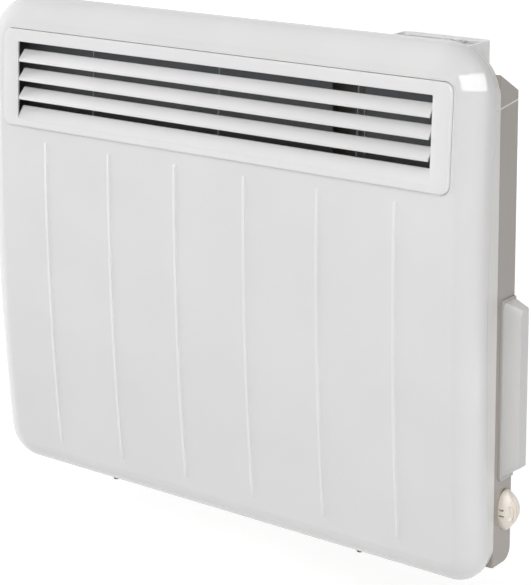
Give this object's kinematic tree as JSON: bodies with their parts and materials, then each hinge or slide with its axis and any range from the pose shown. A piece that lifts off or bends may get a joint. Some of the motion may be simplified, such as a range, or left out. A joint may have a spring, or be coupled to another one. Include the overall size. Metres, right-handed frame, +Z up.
{
  "type": "electric panel heater",
  "caption": "Wall-hung electric panel heater: bowed pressed front with raised ribs, louvred outlet at the top, shallow case, control pod, side terminal box and sensor dome on a wall bracket.",
  "frame": {"origin": "centre of the wall bracket's four holes, on the wall plane", "axes": "+X to the right seen from the front, +Y towards the wall, +Z up"},
  "size_m": [0.5227, 0.1089, 0.4322],
  "materials": {
    "panel_white": "semi-gloss",
    "frame_grey_white": "semi-gloss",
    "grille_abs": "satin",
    "case_grey": "gloss",
    "screw_dark": "blackened",
    "screw_zinc": "zinc plated",
    "dark_sheet": "satin",
    "galvanised": "galvanised",
    "element_sheath": "heat stained",
    "fin_aluminium": "mill",
    "ceramic_white": "unglazed",
    "ceramic_buff": "unglazed",
    "pod_abs": "satin",
    "facia_grey": "satin",
    "window_smoke": "clear",
    "display_grey": "satin",
    "board_green": "solder mask",
    "black_plastic": "satin",
    "button_white": "satin",
    "side_box_white": "satin",
    "terminal_cream": "satin",
    "brass": "bright",
    "sensor_cream": "semi-gloss",
    "nylon_white": "satin",
    "relay_blue": "satin",
    "capacitor_blue": "semi-gloss",
    "terminal_green": "satin",
    "lead_brown": "satin",
    "lead_white": "satin"
  },
  "bodies": {
    "heater": {"front_panel": "panel_white", "front_frame": "frame_grey_white", "outlet_grille": "grille_abs", "rear_case": "case_grey", "roof_cover": "case_grey", "panel_screws": "screw_dark", "roof_screws": "screw_zinc", "air_deflector": "dark_sheet", "bay_wall": "galvanised", "bay_shield": "dark_sheet", "heating_element": "element_sheath", "element_fins": "fin_aluminium", "element_plate": "galvanised", "element_bushes": "ceramic_white", "thermal_cutout": "ceramic_buff", "cutout_screws": "screw_zinc", "pod_housing": "pod_abs", "pod_facia": "facia_grey", "display_window": "window_smoke", "display_module": "display_grey", "control_board": "board_green", "tact_switches": "black_plastic", "terminal_base": "side_box_white", "terminal_cover": "side_box_white", "terminal_block": "terminal_cream", "terminal_screws": "brass", "sensor_cap": "sensor_cream", "sensor_base": "sensor_cream", "sensor_bead": "black_plastic", "power_board": "board_green", "board_standoffs": "nylon_white", "power_relay": "relay_blue", "power_transformer": "black_plastic", "power_capacitor": "capacitor_blue", "board_terminals": "terminal_green", "earth_stud": "brass", "internal_leads": "lead_brown", "sensor_leads": "lead_white", "pod_ribbon": "lead_white", "cable_gland": "black_plastic", "gland_nut": "black_plastic", "wall_bracket": "galvanised", "bracket_screws": "screw_zinc"},
    "button_power": {"button_power": "button_white"},
    "button_mode": {"button_mode": "button_white"},
    "button_minus": {"button_minus": "button_white"},
    "button_plus": {"button_plus": "button_white"},
    "button_advance": {"button_advance": "button_white"},
    "button_enter": {"button_enter": "button_white"}
  },
  "joints": [
    {"name": "button_power_press", "type": "slide", "parent": "heater", "child": "button_power", "axis": [0, 0, -1], "range_m": [0, 0.0008], "stiffness_N_per_m": 700, "springref_m": -0.0008},
    {"name": "button_mode_press", "type": "slide", "parent": "heater", "child": "button_mode", "axis": [0, 0, -1], "range_m": [0, 0.0008], "stiffness_N_per_m": 700, "springref_m": -0.0008},
    {"name": "button_minus_press", "type": "slide", "parent": "heater", "child": "button_minus", "axis": [0, 0, -1], "range_m": [0, 0.0008], "stiffness_N_per_m": 700, "springref_m": -0.0008},
    {"name": "button_plus_press", "type": "slide", "parent": "heater", "child": "button_plus", "axis": [0, 0, -1], "range_m": [0, 0.0008], "stiffness_N_per_m": 700, "springref_m": -0.0008},
    {"name": "button_advance_press", "type": "slide", "parent": "heater", "child": "button_advance", "axis": [0, 0, -1], "range_m": [0, 0.0008], "stiffness_N_per_m": 700, "springref_m": -0.0008},
    {"name": "button_enter_press", "type": "slide", "parent": "heater", "child": "button_enter", "axis": [0, 0, -1], "range_m": [0, 0.0008], "stiffness_N_per_m": 700, "springref_m": -0.0008}
  ]
}
